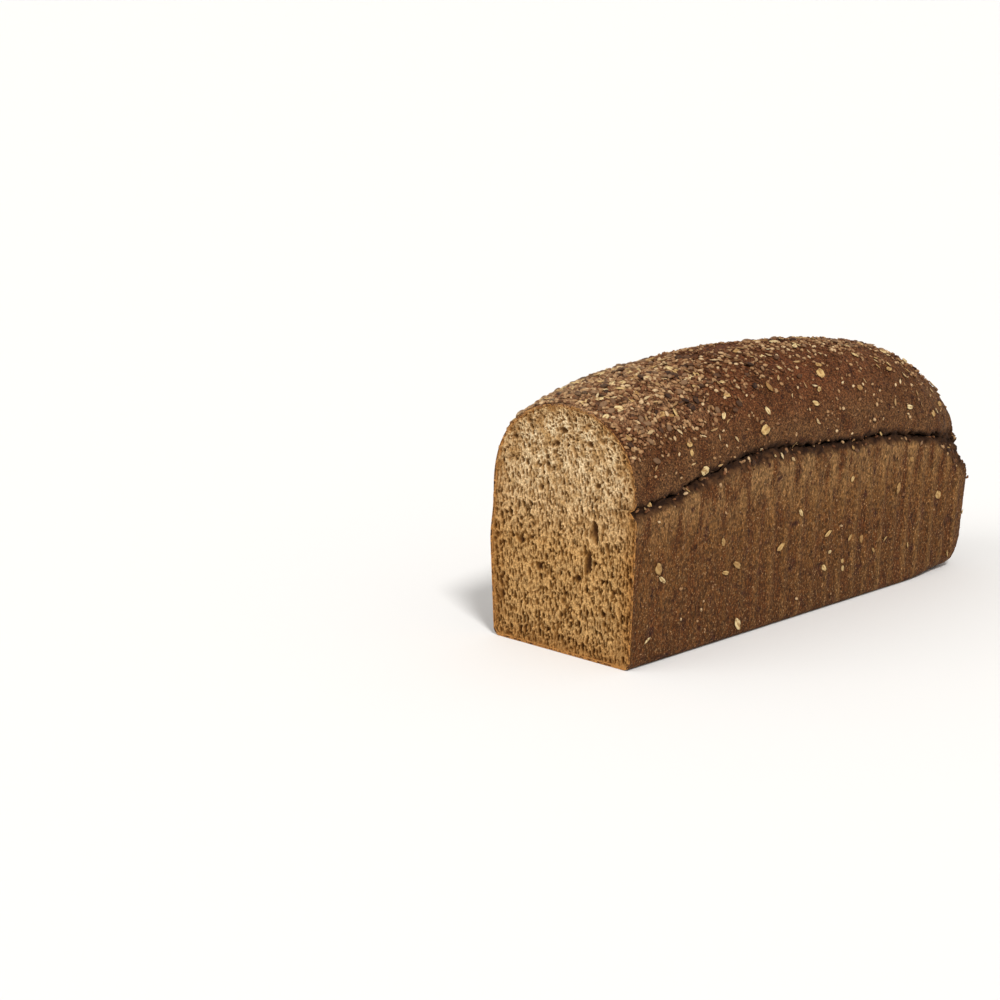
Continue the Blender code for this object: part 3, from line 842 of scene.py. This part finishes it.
class Scatter:
    """Copies of one kind of seed, gathered in one mesh and kept apart by a share of their sizes."""

    taken = {}

    def __init__(self, shape, proud, slim):
        self.shapes = []
        for seed in range(4):
            bm = shape(3.7 * seed)
            self.shapes.append(bpy.data.meshes.new("shape"))
            bm.to_mesh(self.shapes[seed])
            bm.free()
        self.proud = proud
        self.slim = slim
        self.bm = bmesh.new()
        self.count = 0

    def lay(self, spot, normal, length, crowd):
        """Lay one copy unless a neighbour is in the way or it would stand out of the loaf's box."""
        cell = tuple(int(math.floor(c / SEED_CELL)) for c in spot)
        for step in itertools.product((-1, 0, 1), repeat=3):
            for other, size in Scatter.taken.get(tuple(c + d for c, d in zip(cell, step)), ()):
                if (spot - other).length < crowd * 0.5 * (size + length):
                    return False
        lie = normal.to_track_quat("Z", "Y").to_matrix().to_4x4()
        turn = Matrix.Rotation(rng.uniform(0.0, 2.0 * math.pi), 4, "Z")
        lean = rng.gauss(0.0, SEED_LEAN)
        tilt = Matrix.Rotation(lean, 4, "X")
        lift = (self.proud + LEAN_LIFT * abs(math.sin(lean))) * length
        stretch = Matrix.Diagonal((length, length * rng.uniform(*self.slim), length, 1.0))
        place = Matrix.Translation(spot + normal * lift) @ lie @ turn @ tilt @ stretch
        copy = rng.choice(self.shapes).copy()
        copy.transform(place)
        tones = np.full(len(copy.vertices), rng.random())
        copy.attributes.new("tone", "FLOAT", "POINT").data.foreach_set("value", tones)
        corners = np.empty(3 * len(copy.vertices))
        copy.vertices.foreach_get("co", corners)
        corners = corners.reshape(-1, 3)
        fits = (corners.min(axis=0) > cad_box[0]).all() and (corners.max(axis=0) < cad_box[1]).all()
        if fits:
            self.bm.from_mesh(copy)
            self.count += 1
            Scatter.taken.setdefault(cell, []).append((spot, length))
        bpy.data.meshes.remove(copy)
        return fits

    def spread(self, region, count, sizes, crowd):
        """Lay count copies of lengths between two sizes on faces drawn by weight."""
        (centres, normals, areas), weights = region
        chance = areas * np.maximum(weights, 0.0)
        picks = np.random.default_rng(len(Scatter.taken) + count)
        chosen = picks.choice(len(areas), size=4 * count, p=chance / chance.sum())
        wanted = self.count + count
        for i in chosen:
            if self.count >= wanted:
                break
            self.lay(Vector(centres[i]), Vector(normals[i]), rng.uniform(*sizes), crowd)


# %% Oat flakes, husks, sesame, kernels and chips
# middle, height and length in mm
LARGE_FLAKES = ((-52, 107, 6.4), (77, 101, 6.4), (8, 126, 6.2), (-99, 93, 6.0), (-106, 86, 5.4),
                (-82, 54, 5.4), (-132, 49, 6.4), (-129, 43, 5.6), (-67, 8, 6.4), (-138, 14, 4.6),
                (-34, 42, 5.8), (69, 57, 6.4), (38, 34, 4.6), (-19, 58, 4.6), (-70, 40, 7.4),
                (-79, 37, 4.6), (6, 43, 4.8), (109, 47, 4.8), (5, 24, 4.0), (60, 30, 4.0))

dome_weights = dome_thickness(dome_ground[0], dome_ground[1])
behind_cut = dome_ground[0][:, 1] > -0.5 * LENGTH + 0.003
even_dome = ramp(dome_ground[0][:, 2], 0.086, 0.098) * behind_cut
tin_centres, tin_normals = tin_ground[:2]
behind_cut = tin_centres[:, 1] > -0.5 * LENGTH + 0.003
torn = np.array([crease_shares(Vector(c))[0] for c in tin_centres])
outside = np.maximum(abs(tin_centres[:, 0]) - 0.044, tin_centres[:, 1] + 0.5 * LENGTH - 0.285) > 0.0
tear_weights = torn * behind_cut * outside
wall_weights = (1.0 - torn) * (abs(tin_normals[:, 2]) < 0.8) * (tin_centres[:, 2] > 0.006) * behind_cut
crown, skin = (dome_ground, dome_weights), (dome_ground, even_dome)
tear, walls = (tin_ground, tear_weights), (tin_ground, wall_weights)

# name, shape, how proud it lies, how slim it is, and for each region a count, lengths and crowding
KINDS = (("oat_flakes", oat_flake, 0.07, (0.45, 1.15),
          ((crown, 110, (0.0040, 0.0066), 0.6), (skin, 40, (0.0030, 0.0052), 0.8),
           (walls, 24, (0.0028, 0.0046), 0.8), (tear, 18, (0.0028, 0.0044), 0.6))),
         ("oat_husks", oat_husk, 0.09, (0.8, 1.3),
          ((crown, 60, (0.0045, 0.0070), 0.5), (skin, 115, (0.0032, 0.0056), 0.8),
           (tear, 20, (0.0035, 0.0055), 0.5))),
         ("dark_kernels", dark_kernel, 0.13, (0.8, 1.2),
          ((crown, 240, (0.0034, 0.0058), 0.55), (tear, 46, (0.0030, 0.0044), 0.6))),
         ("sesame_seeds", sesame_seed, 0.14, (0.8, 1.25),
          ((crown, 660, (0.0022, 0.0036), 0.5), (skin, 230, (0.0018, 0.0030), 0.8),
           (tear, 26, (0.0020, 0.0032), 0.6), (walls, 50, (0.0016, 0.0026), 0.8))),
         ("bran_chips", bran_chip, 0.16, (0.6, 1.2),
          ((crown, 4600, (0.0012, 0.0030), 0.36), (skin, 800, (0.0008, 0.0018), 0.5),
           (tear, 280, (0.0012, 0.0030), 0.42), (walls, 420, (0.0006, 0.0014), 0.5))))

seeds = {}
for name, shape, proud, slim, layers in KINDS:
    kind = Scatter(shape, proud, slim)
    for along, height, length in LARGE_FLAKES if shape is oat_flake else ():
        ground = dome_ground if height > 83.0 else tin_ground
        gaps = np.hypot(ground[0][:, 1] / MM - along, ground[0][:, 2] / MM - height)
        gaps += 99.0 * (ground[1][:, 0] < 0.2)          # only on the side that shows
        nearest = int(np.argmin(gaps))
        kind.lay(Vector(ground[0][nearest]), Vector(ground[1][nearest]), length * MM, 0.1)
    for layer in layers:
        kind.spread(*layer)
    print("laid", kind.count)
    seeds[name] = keep_piece(kind.bm, name)

# %% [markdown]
# ## Finishes
# Every finish starts from what the real surface is. Colours are sRGB hex, and patterns take their size
# in millimetres on the loaf.


# %% Colours and patterns
def per_metre(size_mm):
    """Noise scale for features of a size in millimetres."""
    return 1000.0 / size_mm


def new_finish(name, piece, roughness, shine):
    """An empty Principled finish on a piece, with the loaf's own coordinates."""
    finish = bpy.data.materials.new(name)
    finish.use_nodes = True
    shader = finish.node_tree.nodes["Principled BSDF"]
    shader.inputs["Roughness"].default_value = roughness
    shader.inputs["Specular IOR Level"].default_value = shine
    piece.data.materials.append(finish)
    return finish, shader, node(finish, "TexCoord", out="Object")


def patches(finish, place, size_mm, low, high):
    """A share from 0 to 1 in patches of a size, sharper where low and high are close."""
    spots = node(finish, "TexNoise", {"Vector": place, "Scale": per_metre(size_mm), "Detail": 3.0}, "Fac")
    return node(finish, "MapRange", {"Value": spots, "From Min": low, "From Max": high})


def stained(finish, colour, place, size_mm, low, high, stain):
    """The colour with patches of a stain over it."""
    share = patches(finish, place, size_mm, low, high)
    return node(finish, "Mix", {"Factor": share, "A": colour, "B": stain})


def grained(finish, colour, place, size_mm, dark, pale):
    """The colour with a fine even grain that takes it from dark to pale times its brightness."""
    grain = node(finish, "TexNoise", {"Vector": place, "Scale": per_metre(size_mm), "Detail": 4.0}, "Fac")
    gain = node(finish, "MapRange", {"Value": grain, "From Min": 0.36, "From Max": 0.64,
                                     "To Min": dark, "To Max": pale})
    return node(finish, "VectorMath", {"Vector": colour, "Scale": gain}, operation="SCALE")


def cover(finish, shader, colour, place, size_mm, height_mm):
    """Put the colour on the shader, with fine relief of a given grain and height."""
    finish.node_tree.links.new(colour, shader.inputs["Base Color"])
    grain = node(finish, "TexNoise", {"Vector": place, "Scale": per_metre(size_mm), "Detail": 5.0}, "Fac")
    bump = node(finish, "Bump", {"Height": grain, "Distance": height_mm * MM})
    finish.node_tree.links.new(bump, shader.inputs["Normal"])
    print(finish.name, len(finish.node_tree.nodes), "nodes")


print("noise scale for grains of 1 mm", per_metre(1.0))

# %% [markdown]
# ### Tin-baked wholegrain crust
# Flour, bran and malt, baked against steel: matt mid brown, paler where the ribs of the tin pressed
# and towards the top, darker at the bottom, and speckled all over by bran about 1 mm across. The torn
# crease shows rougher crumb in its own browns, darkened partly as painted shade, with a painted shadow at its
# throat.

# %% Tin crust finish
# Colours of the open crease: the torn crumb's own browns, darkened partly as painted shade, and a painted
# shadow for the throat under the dome's lip.
TORN_DARK_AND_SHADED = "#2d1a0e"
TORN_PALE_AND_SHADED = "#5a3c24"
THROAT_PAINTED_SHADOW = "#201108"
THROAT_PAINTED_SHADE_STRENGTH = 0.75


def with_open_crease_and_painted_shade(finish, crust, place):
    """The crust's colour with the torn crumb over it, and a painted shadow at its throat, where the mesh
    marks them.
    """
    # The torn crumb's colours, darkened partly as painted shade of the open crease.
    torn = stained(finish, TORN_DARK_AND_SHADED, place, 3.2, 0.38, 0.64, TORN_PALE_AND_SHADED)
    tear = node(finish, "Attribute", out="Fac", attribute_name="tear")
    opened = node(finish, "Mix", {"Factor": tear, "A": crust, "B": torn})
    # The throat share mixes in a painted shadow under the dome's lip.
    throat = node(finish, "Attribute", out="Fac", attribute_name="throat")
    painted_shade = node(finish, "Math", {0: throat, 1: THROAT_PAINTED_SHADE_STRENGTH}, operation="MULTIPLY")
    return node(finish, "Mix", {"Factor": painted_shade, "A": opened, "B": THROAT_PAINTED_SHADOW})


tin, tin_shader, place = new_finish("tin-baked wholegrain crust", tin_crust, 0.85, 0.12)
height = node(tin, "SeparateXYZ", {"Vector": place}, "Z")
along = node(tin, "SeparateXYZ", {"Vector": place}, "Y")
low = node(tin, "MapRange", {"Value": height, "From Min": 0.002, "From Max": 0.080})
foot = node(tin, "Mix", {"Factor": low, "A": "#4b2c13", "B": "#6a4623"})
band = node(tin, "MapRange", {"Value": height, "From Min": 0.058, "From Max": 0.082, "To Max": 0.75})
ground = node(tin, "Mix", {"Factor": band, "A": foot, "B": "#805f3b"})
upright = node(tin, "VectorMath", {0: place, 1: (1.0, 1.0, 0.25)}, operation="MULTIPLY")
mottled = stained(tin, ground, upright, 6.0, 0.45, 0.62, "#512e14")
spotted = stained(tin, mottled, place, 7.0, 0.57, 0.70, "#3e2114")
print(tin.name, len(tin.node_tree.nodes), "nodes before the ribs")

# %% Ribs and grain of the tin crust
turn = node(tin, "Math", {0: along, 1: 2.0 * math.pi / RIB_PITCH}, operation="MULTIPLY")
start = node(tin, "Math", {0: turn, 1: math.pi * LENGTH / RIB_PITCH}, operation="ADD")
crest = node(tin, "Math", {0: start}, operation="COSINE")
broad = node(tin, "MapRange", {"Value": crest, "From Min": -0.1, "From Max": 1.0, "To Max": 0.5})
far = node(tin, "MapRange", {"Value": along, "From Min": -0.09, "From Max": 0.03, "To Min": 0.2})
worn = node(tin, "Math", {0: patches(tin, upright, 8.0, 0.30, 0.60), 1: far}, operation="MULTIPLY")
shown = node(tin, "Math", {0: broad, 1: worn}, operation="MULTIPLY")
ribbed = node(tin, "Mix", {"Factor": shown, "A": spotted, "B": "#7d5b34"})
fibrous = node(tin, "VectorMath", {0: place, 1: (1.0, 1.0, 0.6)}, operation="MULTIPLY")
pitted = stained(tin, ribbed, upright, 1.6, 0.60, 0.72, "#2f1a0e")
speckled = stained(tin, pitted, fibrous, 0.6, 0.58, 0.72, "#9c7a54")
coarse = grained(tin, speckled, fibrous, 1.5, 0.60, 1.42)
crust = grained(tin, coarse, fibrous, 0.8, 0.55, 1.50)
colour = with_open_crease_and_painted_shade(tin, crust, place)
cover(tin, tin_shader, colour, fibrous, 1.1, 0.8)

# %% [markdown]
# ### Oven-baked dome crust
# The same dough, browned by hot air: darker and redder, with patches of almost black brown, and pale
# patches at the front top that are a painted highlight.

# %% Dome crust finish
dome, dome_shader, place = new_finish("oven-baked wholegrain crust", dome_crust, 0.75, 0.1)
height = node(dome, "SeparateXYZ", {"Vector": place}, "Z")
along = node(dome, "SeparateXYZ", {"Vector": place}, "Y")
high = node(dome, "MapRange", {"Value": height, "From Min": 0.104, "From Max": 0.124})
fading = node(dome, "MapRange", {"Value": along, "From Min": 0.0, "From Max": 0.12,
                                 "To Min": 0.85, "To Max": 0.35})
red = node(dome, "Math", {0: high, 1: fading}, operation="MULTIPLY")
warm = node(dome, "Mix", {"Factor": red, "A": "#593b22", "B": "#5b3019"})
# Pale patches near the cut at the top: a painted highlight for the glare there.
start = node(dome, "MapRange", {"Value": along, "From Min": -0.125, "From Max": -0.075,
                                "To Min": 1.0, "To Max": 0.0})
glare_patches = node(dome, "Math", {0: patches(dome, place, 9.0, 0.32, 0.52), 1: start}, operation="MULTIPLY")
top = node(dome, "MapRange", {"Value": height, "From Min": 0.114, "From Max": 0.128, "To Max": 0.9})
painted_glare = node(dome, "Math", {0: glare_patches, 1: top}, operation="MULTIPLY")
ground = node(dome, "Mix", {"Factor": painted_glare, "A": warm, "B": "#a98460"})
mottled = stained(dome, ground, place, 16.0, 0.46, 0.66, "#492812")
spotted = stained(dome, mottled, place, 5.0, 0.58, 0.70, "#391e11")
pitted = stained(dome, spotted, place, 1.3, 0.60, 0.70, "#291409")
speckled = stained(dome, pitted, place, 0.6, 0.58, 0.72, "#8e673f")
coarse = grained(dome, speckled, place, 1.6, 0.62, 1.40)
crust = grained(dome, coarse, place, 0.8, 0.58, 1.46)
colour = with_open_crease_and_painted_shade(dome, crust, place)
cover(dome, dome_shader, colour, place, 1.2, 0.9)

# %% [markdown]
# ### Wholegrain crumb
# Baked dough, matt and light brown, paler under the dome. The walls between cells catch the light, the
# cells go darker and warmer inwards, partly in their own colour and partly as painted shade, and in the outer
# two or three millimetres the crumb turns to orange-brown crust, painted brighter at the rim as a highlight.

# %% Crumb finish
bread, bread_shader, place = new_finish("wholegrain crumb", crumb, 0.92, 0.12)
height = node(bread, "SeparateXYZ", {"Vector": place}, "Z")
high = node(bread, "MapRange", {"Value": height, "From Min": 0.054, "From Max": 0.122})
walls = node(bread, "Mix", {"Factor": high, "A": "#cb9f65", "B": "#f5e0b8"})
mottled = stained(bread, walls, place, 7.0, 0.45, 0.68, "#bd9560")
grain = grained(bread, mottled, place, 0.8, 0.64, 1.24)
# Deeper cells get darker colours: partly the moist cell walls, partly painted shade in the hollows.
pore = node(bread, "Attribute", out="Fac", attribute_name="pore")
slope = node(bread, "MapRange", {"Value": pore, "From Min": 0.08, "From Max": 0.50})
cell_inside_and_shade = node(bread, "Mix", {"Factor": high, "A": "#845b2c", "B": "#bb9564"})
sloped = node(bread, "Mix", {"Factor": slope, "A": grain, "B": cell_inside_and_shade})
deep = node(bread, "MapRange", {"Value": pore, "From Min": 0.50, "From Max": 1.0})
pits = node(bread, "Mix", {"Factor": high, "A": "#4c2e15", "B": "#6a4826"})
cells_with_painted_shade = node(bread, "Mix", {"Factor": deep, "A": sloped, "B": pits})
edge = node(bread, "Attribute", out="Fac", attribute_name="edge")
wander = node(bread, "Math", {0: edge, 1: patches(bread, place, 3.0, 0.3, 0.7)}, operation="ADD")
inwards = node(bread, "MapRange", {"Value": wander, "From Min": 1.0, "From Max": 13.0})
toasted = node(bread, "Mix", {"Factor": inwards, "A": (0.68, 0.55, 0.39, 1.0), "B": (1.0, 1.0, 1.0, 1.0)})
warmed = node(bread, "VectorMath", {0: cells_with_painted_shade, 1: toasted}, operation="MULTIPLY")
foot = node(bread, "MapRange", {"Value": height, "From Min": 0.015, "From Max": 0.055, "To Min": 0.94})
browned = node(bread, "VectorMath", {"Vector": warmed, "Scale": foot}, operation="SCALE")
# The outer rim takes the crust's orange-brown, made brighter as a painted highlight where the edge catches
# the light.
rim_crust_and_highlight = node(bread, "MapRange", {"Value": wander, "From Min": 0.7, "From Max": 2.9})
colour = node(bread, "Mix", {"Factor": rim_crust_and_highlight, "A": "#b27c43", "B": browned})
cover(bread, bread_shader, colour, place, 0.8, 0.6)

# %% [markdown]
# ### Flakes and seeds
# Toasted oats and sesame are cream to tan and dry; linseed and sunflower kernels are dark, with the
# faint gloss of their hulls; chips of bran run from cream to brown. Each copy carries its own tone, the
# oats' creases are painted dark as their shade, and those at the front left get pale patches as a painted
# highlight.


# %% Seed finishes
def seed_finish(name, piece, tones, roughness, shine, grain_mm):
    """Three colours, pale, middle and deep, chosen by each seed's tone, with a worn grain over them."""
    finish, shader, place = new_finish(name, piece, roughness, shine)
    tone = node(finish, "Attribute", out="Fac", attribute_name="tone")
    first = node(finish, "MapRange", {"Value": tone, "From Max": 0.5})
    second = node(finish, "MapRange", {"Value": tone, "From Min": 0.5})
    pale, middle, deep = tones
    paler = node(finish, "Mix", {"Factor": first, "A": pale, "B": middle})
    own = node(finish, "Mix", {"Factor": second, "A": paler, "B": deep})
    worn = stained(finish, own, place, grain_mm, 0.52, 0.74, "#6d4726")
    # The oats' crease takes the deep colour: painted shade in the groove.
    crease = node(finish, "Attribute", out="Fac", attribute_name="crease")
    crease_shaded = node(finish, "Mix", {"Factor": crease, "A": worn, "B": deep})
    along = node(finish, "SeparateXYZ", {"Vector": place}, "Y")
    across = node(finish, "SeparateXYZ", {"Vector": place}, "X")
    # Seeds near the cut on the left get pale patches: a painted highlight for the glare there.
    near_cut = node(finish, "MapRange", {"Value": along, "From Min": -0.140, "From Max": -0.060,
                                         "To Min": 0.75, "To Max": 0.0})
    to_left = node(finish, "MapRange", {"Value": across, "From Min": -0.034, "From Max": 0.016,
                                        "To Min": 1.0, "To Max": 0.0})
    reach = node(finish, "Math", {0: near_cut, 1: to_left}, operation="MULTIPLY")
    glare_share = node(finish, "Math", {0: reach, 1: patches(finish, place, 2.5, 0.40, 0.66)}, operation="MULTIPLY")
    painted_glare = node(finish, "Mix", {"Factor": glare_share, "A": crease_shaded, "B": "#d0b187"})
    cover(finish, shader, painted_glare, place, 0.6, 0.25)


seed_finish("toasted rolled oats", seeds["oat_flakes"], ("#dec795", "#c8a66d", "#987143"), 0.75, 0.15, 1.6)
seed_finish("oat husks", seeds["oat_husks"], ("#d0b88e", "#ac8a5d", "#7f5c3b"), 0.75, 0.15, 1.6)
seed_finish("linseed and sunflower hulls", seeds["dark_kernels"], ("#87684b", "#553a27", "#2d1c13"),
            0.60, 0.15, 2.0)
seed_finish("toasted sesame", seeds["sesame_seeds"], ("#cfb187", "#a67f57", "#775133"), 0.70, 0.15, 1.4)
seed_finish("bran and coarse meal", seeds["bran_chips"], ("#b08d66", "#7b5135", "#4a2c1d"), 0.85, 0.10, 1.2)

# %% [markdown]
# ## The floor
# A plain pale floor under the loaf, wide enough to fill the view and lit by the same soft light.

# %% Floor
floor_bm = bmesh.new()
bmesh.ops.create_grid(floor_bm, x_segments=1, y_segments=1, size=60.0)
floor_mesh = bpy.data.meshes.new("floor")
floor_bm.to_mesh(floor_mesh)
floor_bm.free()
floor = bpy.data.objects.new("floor", floor_mesh)
bpy.context.collection.objects.link(floor)
board, board_shader, place = new_finish("matt white board", floor, 0.85, 0.3)
board_shader.inputs["Base Color"].default_value = linear("#efedea")
